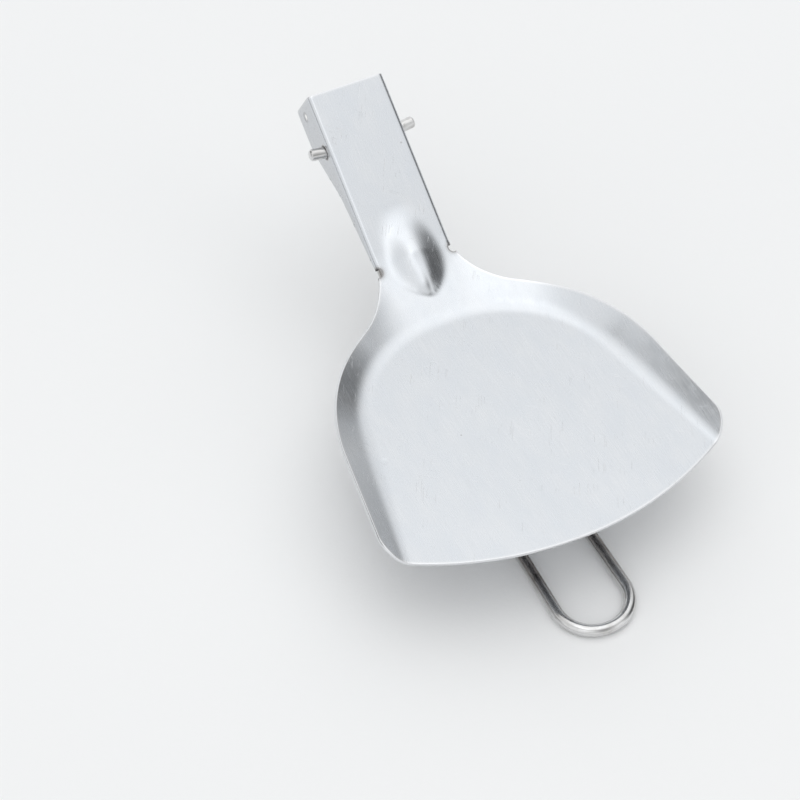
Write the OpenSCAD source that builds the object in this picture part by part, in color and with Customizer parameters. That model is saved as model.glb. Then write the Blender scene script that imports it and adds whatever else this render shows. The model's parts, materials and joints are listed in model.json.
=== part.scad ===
// Folding camp shovel: a pressed steel blade with a channel tang, and a bent wire
// handle whose two ends are its hinge pins. Millimetres, +Z up from the pan's floor,
// +Y towards the tang. The origin is on the floor's upper face, in the middle of the
// pan, and the handle is folded underneath.

/* [Sheet] */
// Thickness of the blade's sheet
sheet_t = 0.8; // [0.6:0.1:1]

/* [Pan] */
// From the pan's middle to the middle of the front edge
front_reach = 37.6; // [34:0.1:40]
// Radius of the front edge, seen from above
front_r = 82.5; // [75:0.5:95]
// Radius of each front corner
corner_r = 8; // [6:0.5:12]
// Radius of each shoulder, seen from above
shoulder_r = 45.5; // [44:0.1:46.5]
// How far the straight sides splay out towards the front, in degrees
side_splay = 7.3; // [6:0.1:9]
// Radius of the hollow curve between the shoulder and the tang
flare_r = 26.2; // [22:0.1:32]
// Slope of the side walls, in degrees
side_tilt = 30; // [24:1:36]
// Slope of the walls at the shoulders, in degrees
shoulder_tilt = 35; // [26:1:40]
// Slope of the walls beside the hollow curves, in degrees
flare_tilt = 29; // [24:1:34]
// Reach of the soft curve on each side of the line where a wall leaves the floor
foot_blend = 2.2; // [1.2:0.1:3]

/* [Tang] */
// Width of the channel
tang_w = 20.5; // [19.5:0.1:22]
// Length of the channel along its web
tang_len = 47; // [43:0.5:50]
// Slope of the web above the pan's floor, in degrees
tang_slope = 32; // [28:1:36]
// Height of the web's top above the floor where the channel begins
neck_h = 6; // [5:0.25:7]
// Full depth of the flanges, from the web's top
flange_h = 12.5; // [11.5:0.25:13.5]
// Outer radius of the two folds
fold_r = 1.2; // [1:0.1:2]
// Height of the stiffening rib across the bend
rib_h = 3.2; // [1.6:0.1:3.4]

/* [Hinge] */
// From the open end of the channel to the pivot
pivot_back = 13.9; // [12:0.1:15]
// From the web's top down to the pivot
pivot_drop = 3.6; // [3.4:0.1:4.5]
// Radius of the pivot holes
pivot_r = 1.7; // [1.65:0.05:1.9]

/* [Handle] */
// Diameter of the wire
wire_d = 3; // [2.6:0.1:3]
// From the pivot to the handle's bend
leg_len = 76; // [70:1:82]
// From the handle's bend to the far side of the loop
grip_len = 66.2; // [60:0.2:76]
// Gap between each leg and its flange at the pivot
leg_gap = 0.75; // [0.7:0.05:1.2]
// Half the spacing of the legs at the loop
loop_half_gap = 9.2; // [8.5:0.1:9.8]
// How far each pin stands out of its flange
pin_out = 3.9; // [3:0.1:4.5]
// Lean of the pins towards the channel's open end, in degrees
pin_lean = 7; // [0:0.5:8]

/* [Hidden] */
$fn = 48;
eps = 0.02;
// How far a cutting shape runs past what it cuts
over = 1;

// Plan of the pan, in coordinates about its middle
neck_y = 50;
neck_half_w = tang_w / 2;
shoulder_c = [-4, -2.2];
front_c = [0, front_r - front_reach];

// Line where the walls leave the floor: a shallow arc at the back, a shoulder arc
// and a straight side
foot_back_y = 34.5;
foot_back_r = 50;
foot_shoulder_r = 30;
foot_splay = 12.6;
foot_side_d = 34;
foot_front_a = -60;

// Web frame: along the channel from the bend, and out of the web's top
web_along = [0, cos(tang_slope), sin(tang_slope)];
web_up = [0, -sin(tang_slope), cos(tang_slope)];
web_origin = [0, neck_y, neck_h];

// Flange edge: full depth behind the pivot, then a taper to the neck
flange_full = 11;
flange_waist_back = 25.5;
flange_waist_h = 5.3;
flange_neck_h = 1.3;
flange_waist_r = 14;
flange_heel_r = 9;
flange_tail_r = 1.2;
notch_r = 1.1;
notch_reach = 4;

// The channel's web runs on a little way into the pan, so the two join
web_tongue = 0.4;

// Dimple in each flange
dimple_back = 3.2;
dimple_drop = 7.4;
dimple_rise = 0.5;
dimple_r = 1.85;

// Rib: how far it reaches up the web and down the pan's back slope, and its half width,
// which takes up the web between the folds
rib_back = 12.5;
rib_tip = 9.3;
rib_side_gap = 0.05;
rib_half_w = neck_half_w - fold_r - rib_side_gap;
rib_end_w = 0.8;
// How long its height holds up the web, how much of it is lost before the tip and how
// suddenly the rest goes, how steep its flanks are, and how bluntly each end closes: a
// smaller power is blunter
rib_hold = 1.5;
rib_fall = 0.3;
rib_fall_power = 6;
rib_flank_power = 3;
rib_back_round = 0.25;
rib_tip_round = 0.7;
rib_steps = 20;
rib_sides = 16;

// Wire
wire_r = wire_d / 2;
leg_half_gap = neck_half_w - sheet_t - leg_gap - wire_r;
pin_bend_r = 2.1;
knee_bend_r = 9;
loop_flat = 0.3;
loop_r = loop_half_gap - loop_flat;
pin_chamfer = 0.4;
bend_inset = 0.01;
bend_seam = 0.05;

function unit(v) = v / norm(v);
function polar(a) = [cos(a), sin(a)];
function angle_of(p) = atan2(p[1], p[0]);

// Distance along a ray from the origin to a circle around it, to a circle beyond it,
// and to a line given by its normal's angle and its distance
function ray_inside(c, r, u) = c * u + sqrt(pow(c * u, 2) - c * c + r * r);
function ray_outside(c, r, u) = c * u - sqrt(pow(c * u, 2) - c * c + r * r);
function ray_line(a, d, u) = d / (polar(a) * u);

// Centre of an arc of radius r that blends a line into a larger circle around it
function blend_centre(c, big_r, a, d, r, turn) =
    c + (big_r - r) * polar(a + turn * acos((d - r - c * polar(a)) / (big_r - r)));

// Outline of the pan, as its distance from the middle at each angle
side_d = shoulder_c * polar(side_splay) + shoulder_r;
corner_c = blend_centre(front_c, front_r, side_splay, side_d, corner_r, -1);
corner_front_a = angle_of(front_c + front_r * unit(corner_c - front_c));
corner_side_a = angle_of(corner_c + corner_r * polar(side_splay));
side_end_a = angle_of(shoulder_c + shoulder_r * polar(side_splay));
notch_p = [neck_half_w, neck_y];
flare_far = norm(notch_p - shoulder_c);
flare_turn = acos((pow(shoulder_r + flare_r, 2) + pow(flare_far, 2) - pow(flare_r, 2))
    / (2 * (shoulder_r + flare_r) * flare_far));
flare_dir = angle_of(notch_p - shoulder_c) - flare_turn;
flare_c = shoulder_c + (shoulder_r + flare_r) * polar(flare_dir);
flare_end_a = angle_of(shoulder_c + shoulder_r * polar(flare_dir));
notch_a = angle_of(notch_p);
function rim_reach(a) = let (u = polar(a))
    a < corner_front_a ? ray_inside(front_c, front_r, u)
    : a < corner_side_a ? ray_inside(corner_c, corner_r, u)
    : a < side_end_a ? ray_line(side_splay, side_d, u)
    : a < flare_end_a ? ray_inside(shoulder_c, shoulder_r, u)
    : a < notch_a ? ray_outside(flare_c, flare_r, u)
    : neck_y / u[1];

// Line where the walls leave the floor, in the same way. The straight side runs on
// past the front edge, so the walls die out at the corners
foot_back_c = [0, foot_back_y - foot_back_r];
foot_shoulder_c = blend_centre(foot_back_c, foot_back_r, foot_splay, foot_side_d,
    foot_shoulder_r, 1);
foot_back_a = angle_of(foot_back_c + foot_back_r * unit(foot_shoulder_c - foot_back_c));
foot_side_a = angle_of(foot_shoulder_c + foot_shoulder_r * polar(foot_splay));
function foot_reach(a) = let (u = polar(a))
    a < foot_front_a ? 2 * foot_side_d
    : a < foot_side_a ? ray_line(foot_splay, foot_side_d, u)
    : a < foot_back_a ? ray_inside(foot_shoulder_c, foot_shoulder_r, u)
    : ray_inside(foot_back_c, foot_back_r, u);

// Slope of the wall at each angle, as its rise over its width. It meets the web's lower
// end at the neck
side_a = 5;
shoulder_a = 35;
flare_a = 58;
function neck_grade(a) = neck_h / (rim_reach(a) - foot_reach(a));
wall_grades = [
    [side_a, tan(side_tilt)],
    [shoulder_a, tan(shoulder_tilt)],
    [flare_a, tan(flare_tilt)],
    [notch_a, neck_grade(notch_a)]];
function wall_grade(a) = a > notch_a ? neck_grade(a) : lookup(a, wall_grades);

// A rise that is zero inside the foot line and straight outside it
function soft_rise(d) = d < -foot_blend ? 0
    : d > foot_blend ? d
    : pow(d + foot_blend, 2) / (4 * foot_blend);
function soft_slope(d) = min(max((d + foot_blend) / (2 * foot_blend), 0), 1);

// A point of the pan's upper face, or of its lower face when under is the thickness
function pan_point(a, r, under) = let (
        h = a > 90 ? 180 - a : a,
        d = r - foot_reach(h),
        tilt = atan(wall_grade(h) * soft_slope(d)),
        reach = r + under * sin(tilt),
        z = wall_grade(h) * soft_rise(d) - under * cos(tilt))
    [reach * cos(a), reach * sin(a), z];

// Height of the sheet's upper face anywhere near the bend
function bend_z(x, y) = y > neck_y
    ? neck_h + (y - neck_y) * tan(tang_slope)
    : pan_point(atan2(y, x), norm([x, y]), 0)[2];

// Rays of one half, close together where the outline turns quickly
ray_step = 3;
fine_step = 2;
fine_from_a = 62;
corner_rays = 10;
neck_rays = 4;
corner_span = corner_side_a - corner_front_a;
half_rays = concat(
    [for (a = [-90 : ray_step : corner_front_a - fine_step]) a],
    [for (i = [0 : corner_rays]) corner_front_a + corner_span * i / corner_rays],
    [for (a = [corner_side_a + ray_step : ray_step : fine_from_a - fine_step]) a],
    [for (a = [fine_from_a : fine_step : notch_a - fine_step / 2]) a],
    [for (i = [0 : neck_rays - 1]) notch_a + (90 - notch_a) * i / neck_rays]);
rays = concat(half_rays, [90], [for (i = [len(half_rays) - 1 : -1 : 1]) 180 - half_rays[i]]);
wall_steps = 8;
// The flat floor takes up no more than this part of a ray
most_flat = 0.9;

// Distances along one ray: the edge of the flat floor, then even steps to the rim
function ray_stops(a) = let (
        h = a > 90 ? 180 - a : a,
        rim = rim_reach(h),
        flat = min(foot_reach(h) - foot_blend, most_flat * rim))
    [for (j = [0 : wall_steps]) flat + (rim - flat) * j / wall_steps];

// The pan and neck: two stacks of rings, one for each face of the sheet, closed by the
// floor inside and by the cut edge outside
module pan_sheet() {
    n = len(rays);
    m = wall_steps + 1;
    stops = [for (a = rays) ray_stops(a)];
    upper = [for (j = [0 : m - 1]) for (i = [0 : n - 1]) pan_point(rays[i], stops[i][j], 0)];
    lower = [for (j = [0 : m - 1]) for (i = [0 : n - 1]) pan_point(rays[i], stops[i][j], sheet_t)];
    top = function (j, i) j * n + i % n;
    low = function (j, i) (m + j) * n + i % n;
    faces = concat(
        [[for (i = [n - 1 : -1 : 0]) top(0, i)]],
        [[for (i = [0 : n - 1]) low(0, i)]],
        [for (j = [0 : m - 2]) for (i = [0 : n - 1]) each [
            [top(j, i), top(j, i + 1), top(j + 1, i + 1)],
            [top(j, i), top(j + 1, i + 1), top(j + 1, i)],
            [low(j, i), low(j + 1, i + 1), low(j, i + 1)],
            [low(j, i), low(j + 1, i), low(j + 1, i + 1)]]],
        [for (i = [0 : n - 1]) each [
            [top(m - 1, i), top(m - 1, i + 1), low(m - 1, i + 1)],
            [top(m - 1, i), low(m - 1, i + 1), low(m - 1, i)]]]);
    polyhedron(concat(upper, lower), faces, convexity = 6);
}

// Rib: its height and half width along the blade, and its rounded cross-section. It
// fades out softly up the web and narrows to a blunt tip on the pan's back slope
function rib_far(y) = y > neck_y ? (y - neck_y) / rib_back : (neck_y - y) / rib_tip;
function rib_rise(y) = let (far = rib_far(y))
    rib_h * (y > neck_y ? pow(1 - far, 2) * (1 + rib_hold * far)
        : 1 - rib_fall * far - (1 - rib_fall) * pow(far, rib_fall_power));
function rib_width(y) = let (far = rib_far(y))
    max(rib_end_w, rib_half_w * pow(1 - far * far, y > neck_y ? rib_back_round : rib_tip_round));
function rib_shape(q) = pow(1 - q * q, rib_flank_power);

// The rib's solid over the sheet, or the hollow under it when down is the thickness.
// Its base lies inside the sheet, or clear below it
module rib_solid(down) {
    n = rib_steps;
    m = rib_sides;
    sunk = sheet_t / 2;
    ys = [for (i = [0 : n]) neck_y - rib_tip + (rib_tip + rib_back) * i / n];
    place = function (i, j, crown) let (
            q = 2 * j / m - 1,
            x = q * rib_width(ys[i]),
            base = bend_z(x, ys[i]) - down)
        [x, ys[i], crown ? base + rib_rise(ys[i]) * rib_shape(q) - eps : base - sunk];
    points = [for (crown = [true, false]) for (i = [0 : n]) for (j = [0 : m]) place(i, j, crown)];
    at = function (i, j) i * (m + 1) + j;
    low = (n + 1) * (m + 1);
    faces = concat(
        [for (i = [0 : n - 1]) for (j = [0 : m - 1]) each [
            [at(i, j), at(i + 1, j), at(i + 1, j + 1)],
            [at(i, j), at(i + 1, j + 1), at(i, j + 1)],
            [low + at(i, j), low + at(i + 1, j + 1), low + at(i + 1, j)],
            [low + at(i, j), low + at(i, j + 1), low + at(i + 1, j + 1)]]],
        [for (i = [0 : n - 1]) each [
            [at(i, 0), low + at(i, 0), low + at(i + 1, 0)],
            [at(i, 0), low + at(i + 1, 0), at(i + 1, 0)],
            [at(i, m), low + at(i + 1, m), low + at(i, m)],
            [at(i, m), at(i + 1, m), low + at(i + 1, m)]]],
        [for (j = [0 : m - 1]) each [
            [at(0, j), at(0, j + 1), low + at(0, j + 1)],
            [at(0, j), low + at(0, j + 1), low + at(0, j)],
            [at(n, j), low + at(n, j + 1), at(n, j + 1)],
            [at(n, j), low + at(n, j), low + at(n, j + 1)]]]);
    polyhedron(points, faces, convexity = 4);
}

// Puts a child drawn along the web, with its top at zero, where the tang is
module on_web() {
    translate(web_origin)
        rotate([tang_slope, 0, 0])
            children();
}

// Points of a corner rounded with radius r between three given points
function rounded(a, b, c, r, steps = 8) = let (
        u = unit(a - b),
        v = unit(c - b),
        half = acos(u * v) / 2,
        back = r / tan(half),
        mid = b + unit(u + v) * r / sin(half),
        from = b + u * back - mid,
        to = b + v * back - mid,
        turn = 180 - 2 * half,
        sense = from[0] * to[1] - from[1] * to[0] > 0 ? 1 : -1)
    [for (i = [0 : steps]) let (t = sense * turn * i / steps)
        mid + [from[0] * cos(t) - from[1] * sin(t), from[0] * sin(t) + from[1] * cos(t)]];

// Side view of the tang: along the web and up from its top
module tang_side() {
    tail = [tang_len, -flange_h];
    heel = [tang_len - flange_full, -flange_h];
    waist = [tang_len - flange_waist_back, -flange_waist_h];
    neck = [0, -flange_neck_h];
    polygon(concat(
        [[-web_tongue, 0], [-web_tongue, -sheet_t], [0, -sheet_t], neck],
        rounded(neck, waist, heel, flange_waist_r),
        rounded(waist, heel, tail, flange_heel_r),
        rounded(heel, tail, [tang_len, 0], flange_tail_r),
        [[tang_len, 0]]));
}

// Cross-section of the channel, with its two rounded folds
module channel_section() {
    w = neck_half_w;
    in_r = fold_r - sheet_t;
    difference() {
        union() {
            for (s = [-1, 1])
                translate([s * (w - fold_r), -fold_r])
                    circle(fold_r);
            translate([fold_r - w, -fold_r])
                square([2 * (w - fold_r), fold_r]);
            translate([-w, -flange_h - over])
                square([2 * w, flange_h + over - fold_r]);
        }
        for (s = [-1, 1])
            translate([s * (w - fold_r), -fold_r])
                circle(in_r);
        translate([fold_r - w, -fold_r - eps])
            square([2 * (w - fold_r), in_r + eps]);
        translate([sheet_t - w, -flange_h - 2 * over])
            square([2 * (w - sheet_t), flange_h + 2 * over - fold_r]);
    }
}

// The straight channel, cut to the shape of its flanges
module channel() {
    intersection() {
        translate([0, -over, 0])
            rotate([90, 0, 180])
                mirror([1, 0, 0])
                    linear_extrude(tang_len + 2 * over)
                        channel_section();
        rotate([90, 0, 90])
            translate([0, 0, -tang_w])
                linear_extrude(2 * tang_w)
                    tang_side();
    }
}

// Puts a child on the inner face of one flange at its dimple, with +Z pointing outwards
module at_dimple(s) {
    translate([s * (neck_half_w - sheet_t), tang_len - dimple_back, -dimple_drop])
        rotate([0, s * 90, 0])
            children();
}

// A dimple is pressed inwards: a shallow dome on the flange's inner face and a smaller
// hollow in its outer face
module dimple_dome() {
    intersection() {
        translate([0, 0, dimple_r - dimple_rise])
            sphere(dimple_r);
        translate([0, 0, -dimple_r])
            cylinder(r = 2 * dimple_r, h = dimple_r + sheet_t / 2);
    }
}

module dimple_hollow() {
    translate([0, 0, dimple_r - dimple_rise])
        sphere(dimple_r - sheet_t);
}

module blade() {
    color("silver")
        difference() {
            union() {
                pan_sheet();
                on_web() {
                    channel();
                    for (s = [-1, 1])
                        at_dimple(s)
                            dimple_dome();
                }
                rib_solid(0);
            }
            rib_solid(sheet_t);
            on_web() {
                for (s = [-1, 1])
                    at_dimple(s)
                        dimple_hollow();
                translate([-tang_w, tang_len - pivot_back, -pivot_drop])
                    rotate([0, 90, 0])
                        cylinder(r = pivot_r, h = 2 * tang_w);
            }
            for (s = [-1, 1])
                translate([s * neck_half_w, neck_y, neck_h - notch_reach])
                    cylinder(r = notch_r, h = 2 * notch_reach);
        }
}

// The wire's corners, from one pin's tip round the loop to the other's, and the radius
// of the bend at each. A leaning pin crosses the hinge axis in the middle of its flange
pivot_p = web_origin + web_along * (tang_len - pivot_back) - web_up * pivot_drop;
knee_p = pivot_p - web_along * leg_len;
loop_p = knee_p - [0, grip_len, 0];
leg_splay = (loop_half_gap - leg_half_gap) / (leg_len + grip_len);
pin_dir = [cos(pin_lean), 0, 0] + sin(pin_lean) * web_along;
function pin_at(x) = pivot_p + [neck_half_w - sheet_t / 2, 0, 0]
    + pin_dir * (x - neck_half_w + sheet_t / 2) / pin_dir[0];
half_path = [
    pin_at(neck_half_w + pin_out),
    pin_at(leg_half_gap),
    knee_p + [leg_half_gap + leg_splay * leg_len, 0, 0],
    loop_p + [loop_half_gap, 0, 0]];
function mirrored(p) = [-p[0], p[1], p[2]];
wire_path = concat(half_path, [for (i = [len(half_path) - 1 : -1 : 0]) mirrored(half_path[i])]);
wire_bends = [0, pin_bend_r, knee_bend_r, loop_r, loop_r, knee_bend_r, pin_bend_r, 0];

// How far from corner b of the path a, b, c a bend of radius r starts
function bend_back(a, b, c, r) = r / tan(acos(unit(a - b) * unit(c - b)) / 2);

// A straight of the wire from a to b
module straight(a, b) {
    d = b - a;
    translate(a)
        rotate([0, acos(d[2] / norm(d)), atan2(d[1], d[0])])
            cylinder(r = wire_r, h = norm(d));
}

// The straight that ends at a pin's tip, b, with its chamfer
module pin_straight(a, b) {
    d = b - a;
    translate(a)
        rotate([0, acos(d[2] / norm(d)), atan2(d[1], d[0])])
            rotate_extrude()
                polygon([[0, 0], [wire_r, 0], [wire_r, norm(d) - pin_chamfer],
                    [wire_r - pin_chamfer, norm(d)], [0, norm(d)]]);
}

// The bend at corner b. It is a hair thinner than the straights, which run a little
// way into it
module bend(a, b, c, r) {
    u = unit(a - b);
    v = unit(c - b);
    half = acos(u * v) / 2;
    x = -unit(u + v);
    z = unit(cross(v, u));
    y = cross(z, x);
    mid = b - x * r / sin(half);
    multmatrix([
        [x[0], y[0], z[0], mid[0]],
        [x[1], y[1], z[1], mid[1]],
        [x[2], y[2], z[2], mid[2]],
        [0, 0, 0, 1]])
        rotate([0, 0, half - 90])
            rotate_extrude(angle = 180 - 2 * half)
                translate([r, 0])
                    circle(wire_r - bend_inset);
}

module wire_handle() {
    p = wire_path;
    n = len(p);
    backs = [for (i = [0 : n - 1]) i == 0 || i == n - 1 ? 0
        : bend_back(p[i - 1], p[i], p[i + 1], wire_bends[i]) - bend_seam];
    color("lightgray") {
        for (i = [0 : n - 2]) {
            run = unit(p[i + 1] - p[i]);
            from = p[i] + run * backs[i];
            to = p[i + 1] - run * backs[i + 1];
            if (i == 0)
                pin_straight(to, from);
            else if (i == n - 2)
                pin_straight(from, to);
            else
                straight(from, to);
        }
        for (i = [1 : n - 2])
            bend(p[i - 1], p[i], p[i + 1], wire_bends[i]);
    }
}

blade();
wire_handle();
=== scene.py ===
"""A folding camp shovel on a pale studio floor: a pressed steel blade with a channel
tang, and a bent wire handle that is folded underneath and hinges in the tang.

Meshes are made in millimetres in the CAD frame and scaled to metres at the end.
"""

import json
import math

import bmesh
import bpy
from mathutils import Matrix, Quaternion, Vector, noise
from mathutils.geometry import delaunay_2d_cdt
from mathutils.kdtree import KDTree


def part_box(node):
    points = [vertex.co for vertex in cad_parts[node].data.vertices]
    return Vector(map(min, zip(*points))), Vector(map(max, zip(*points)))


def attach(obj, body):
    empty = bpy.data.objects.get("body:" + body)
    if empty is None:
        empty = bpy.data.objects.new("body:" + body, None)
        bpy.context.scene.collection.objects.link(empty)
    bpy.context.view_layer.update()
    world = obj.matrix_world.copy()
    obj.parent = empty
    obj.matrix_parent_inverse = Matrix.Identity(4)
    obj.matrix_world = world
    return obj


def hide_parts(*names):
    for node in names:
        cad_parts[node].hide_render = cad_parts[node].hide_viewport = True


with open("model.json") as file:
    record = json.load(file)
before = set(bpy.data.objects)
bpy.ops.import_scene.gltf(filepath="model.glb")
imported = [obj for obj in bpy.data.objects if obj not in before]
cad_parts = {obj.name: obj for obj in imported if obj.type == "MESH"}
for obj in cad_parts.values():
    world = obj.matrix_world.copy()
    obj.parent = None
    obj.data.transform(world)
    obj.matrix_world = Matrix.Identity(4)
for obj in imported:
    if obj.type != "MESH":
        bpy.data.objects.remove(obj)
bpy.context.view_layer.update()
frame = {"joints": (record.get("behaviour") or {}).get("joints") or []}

MM = 0.001

# ---------------------------------------------------------------- driving sizes, mm and degrees
SHEET_T = 0.8
FRONT_REACH = 37.6
FRONT_R = 82.5
CORNER_R = 8.0
SHOULDER_R = 45.5
SHOULDER_C = Vector((-4.0, -2.2))
SIDE_SPLAY = 7.3
FLARE_R = 26.2
NECK_Y = 50.0
NECK_H = 6.0
SIDE_A, SIDE_TILT = 5.0, 30.0
SHOULDER_A, SHOULDER_TILT = 35.0, 35.0
FLARE_A, FLARE_TILT = 58.0, 29.0
FOOT_BLEND = 2.2
FOOT_BACK_Y = 34.5
FOOT_BACK_R = 50.0
FOOT_SHOULDER_R = 30.0
FOOT_SPLAY = 12.6
FOOT_SIDE_D = 34.0

TANG_HALF_W = 10.25
TANG_LEN = 47.0
TANG_SLOPE = math.radians(32)
FOLD_R = 1.2
FLANGE_H = 12.5
FLANGE_FULL = 11.0
FLANGE_WAIST_BACK = 25.5
FLANGE_WAIST_H = 5.3
FLANGE_NECK_H = 1.3
FLANGE_WAIST_R = 14
FLANGE_HEEL_R = 9
FLANGE_TAIL_R = 1.2
NOTCH_R = 1.1
NECK_BLEND = 1.0
PIVOT_R = 1.7
PIVOT_DROP = 3.6
DIMPLE_BACK = 3.2
DIMPLE_DROP = 7.4
DIMPLE_DEPTH = 0.5
DIMPLE_R = 1.15
# Radius of the painted highlight and smoother finish in each dimple's middle, and the share of
# painted shade over the flanges
DIMPLE_HIGHLIGHT_R = 1.1
FLANGE_SHADE = 0.38

RIB_H = 3.2
RIB_HALF_W = 9.0
RIB_BACK = 12.5
RIB_TIP = 9.3
RIB_HOLD = 1.5
RIB_FALL = 0.3
RIB_FALL_POWER = 6
RIB_FLANK_POWER = 3
RIB_BACK_ROUND = 0.25
RIB_TIP_ROUND = 0.7
WAVE_H = 0.035
WAVE_LENGTH = 17

WIRE_R = 1.5
LEG_LEN = 76.0
GRIP_LEN = 66.2
LEG_GAP = 0.75
LOOP_HALF_GAP = 9.2
LOOP_FLAT = 0.3
PIN_OUT = 3.9
PIN_LEAN = math.radians(7)
PIN_BEND_R = 2.1
KNEE_BEND_R = 9.0
PIN_CHAMFER = 0.4

# Studio dome: soft round areas that are brighter or darker than the rest, as azimuth,
# elevation, radius of the core, radius of the rim, and change in brightness
DOME_AREAS = (
    (40, 78, 12, 33, 0.38),
    (-140, 74, 6, 20, 0.32),
    (-118, 50, 6, 22, 0.35),
    (-9, 18, 12, 36, -0.86),
    (8, 15, 6, 15, -0.42),
    (27, 3, 8, 28, -0.45),
    (143, 41, 8, 16, -0.7),
    (135, 8, 12, 30, -0.75),
    (170, 3, 6, 22, -0.6),
    (-85, 35, 5, 30, -0.6))

# Cut edges: their rounding, a supporting row beside it, and how far inside the CAD's
# edge and the CAD's wire the visual stays
EDGE_R = 0.15
EDGE_SUPPORT = 0.12
EDGE_INSET = 0.04
WIRE_SKIN = 0.005

# Spacing of the mesh: along edges and walls, over the floor, along the tang, round
# corners, along the wire, and in degrees round its bends
RING_STEP = 0.6
FLOOR_STEP = 1.7
FLOOR_ROWS = 23
FLOOR_COLUMNS = 26
TANG_STEP = 0.55
ROUND_STEP = 0.4
FINE_STEP = 0.1
WIRE_STEP = 4
BEND_STEP = 5
RAYS_PER_DEGREE = 4
NOTCH_STEPS = 14
NOTCH_SIDES = 20
HOLE_SIDES = 36
WIRE_SIDES = 32

# How far the wall's rings run on over the flat floor, the least width of the band that
# they fill inside the rim, and where the tang's grid starts on the pan's back slope
FLAT_BAND = 1.0
RIM_BAND = 1.5
TANG_GRID_START = NECK_Y - 12

# Rings at the small details: their distances outside the pivot hole and the relief
# notch, and how many a dimple has, with the step between them
DETAIL_RINGS = (0.45, 1.0)
DIMPLE_RINGS = 6
DIMPLE_RING_STEP = 0.25

# How far each group of points keeps from the points before it
DETAIL_CLEAR = 0.3
TANG_CLEAR = 0.33
WALL_CLEAR = 0.36
FLOOR_CLEAR = 1.0

# Widths of the painted shade rings at the dimples and the pivot holes, and of the painted shade
# patch round each relief notch
DIMPLE_SHADE_W = 0.6
PIVOT_SHADE_W = 0.5
NOTCH_SHADE_W = 1.3

# Camera, floor and fill light
CAMERA_PLACE = (-184.32, -302.11, 432.29)
CAMERA_AIM = (-20.88, 16.25, 0)
CAMERA_ROLL = math.radians(1.1)
CAMERA_LENS = 106.87
CAMERA_SENSOR = 36
FLOOR_HALF = 3000
FILL_PLACE = (200, 300, 1200)
FILL_SIZE = 1600
FILL_WATTS = 1.5


# ---------------------------------------------------------------- outline of the pan
def polar(degrees, reach=1.0):
    """A point at an angle and distance from the middle of the pan."""
    a = math.radians(degrees)
    return Vector((math.cos(a), math.sin(a))) * reach


def angle_of(p):
    """Angle of a point seen from the middle of the pan, in degrees."""
    return math.degrees(math.atan2(p.y, p.x))


def ray_circle(centre, r, u, side):
    """Distance along the ray u to a circle: side 1 leaves it, side -1 enters it."""
    along = centre.dot(u)
    return along + side * math.sqrt(along * along - centre.length_squared + r * r)


def blend_centre(centre, big_r, degrees, distance, r, turn):
    """Centre of an arc that blends a line into a larger circle around it."""
    share = (distance - r - centre.dot(polar(degrees))) / (big_r - r)
    return centre + polar(degrees + turn * math.degrees(math.acos(share)), big_r - r)


FRONT_C = Vector((0, FRONT_R - FRONT_REACH))
SIDE_D = SHOULDER_C.dot(polar(SIDE_SPLAY)) + SHOULDER_R
CORNER_C = blend_centre(FRONT_C, FRONT_R, SIDE_SPLAY, SIDE_D, CORNER_R, -1)
CORNER_FRONT_A = angle_of(FRONT_C + (CORNER_C - FRONT_C).normalized() * FRONT_R)
CORNER_SIDE_A = angle_of(CORNER_C + polar(SIDE_SPLAY, CORNER_R))
SIDE_END_A = angle_of(SHOULDER_C + polar(SIDE_SPLAY, SHOULDER_R))
NOTCH_C = Vector((TANG_HALF_W, NECK_Y))
NOTCH_A = angle_of(NOTCH_C)
FLARE_FAR = (NOTCH_C - SHOULDER_C).length
FLARE_SPAN = SHOULDER_R + FLARE_R
FLARE_TURN = math.degrees(math.acos(
    (FLARE_SPAN ** 2 + FLARE_FAR ** 2 - FLARE_R ** 2) / (2 * FLARE_SPAN * FLARE_FAR)))
FLARE_DIR = angle_of(NOTCH_C - SHOULDER_C) - FLARE_TURN
FLARE_C = SHOULDER_C + polar(FLARE_DIR, FLARE_SPAN)
FLARE_END_A = angle_of(SHOULDER_C + polar(FLARE_DIR, SHOULDER_R))

FOOT_BACK_C = Vector((0, FOOT_BACK_Y - FOOT_BACK_R))
FOOT_SHOULDER_C = blend_centre(
    FOOT_BACK_C, FOOT_BACK_R, FOOT_SPLAY, FOOT_SIDE_D, FOOT_SHOULDER_R, 1)
FOOT_BACK_A = angle_of(
    FOOT_BACK_C + (FOOT_SHOULDER_C - FOOT_BACK_C).normalized() * FOOT_BACK_R)
FOOT_SIDE_A = angle_of(FOOT_SHOULDER_C + polar(FOOT_SPLAY, FOOT_SHOULDER_R))
FOOT_FRONT_A = -60


def rim_reach(a):
    """Distance from the middle to the pan's edge, at an angle in the right half."""
    u = polar(a)
    if a < CORNER_FRONT_A:
        return ray_circle(FRONT_C, FRONT_R, u, 1)
    if a < CORNER_SIDE_A:
        return ray_circle(CORNER_C, CORNER_R, u, 1)
    if a < SIDE_END_A:
        return SIDE_D / polar(SIDE_SPLAY).dot(u)
    if a < FLARE_END_A:
        return ray_circle(SHOULDER_C, SHOULDER_R, u, 1)
    if a < NOTCH_A:
        return ray_circle(FLARE_C, FLARE_R, u, -1)
    return NECK_Y / u.y


def foot_reach(a):
    """Distance from the middle to the line where the wall leaves the floor."""
    u = polar(a)
    if a < FOOT_FRONT_A:
        return 2 * FOOT_SIDE_D
    if a < FOOT_SIDE_A:
        return FOOT_SIDE_D / polar(FOOT_SPLAY).dot(u)
    if a < FOOT_BACK_A:
        return ray_circle(FOOT_SHOULDER_C, FOOT_SHOULDER_R, u, 1)
    return ray_circle(FOOT_BACK_C, FOOT_BACK_R, u, 1)


# ---------------------------------------------------------------- pressed shape
def smooth(t):
    """An even step from 0 to 1 that starts and ends softly."""
    t = min(max(t, 0.0), 1.0)
    return t * t * (3 - 2 * t)


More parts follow.
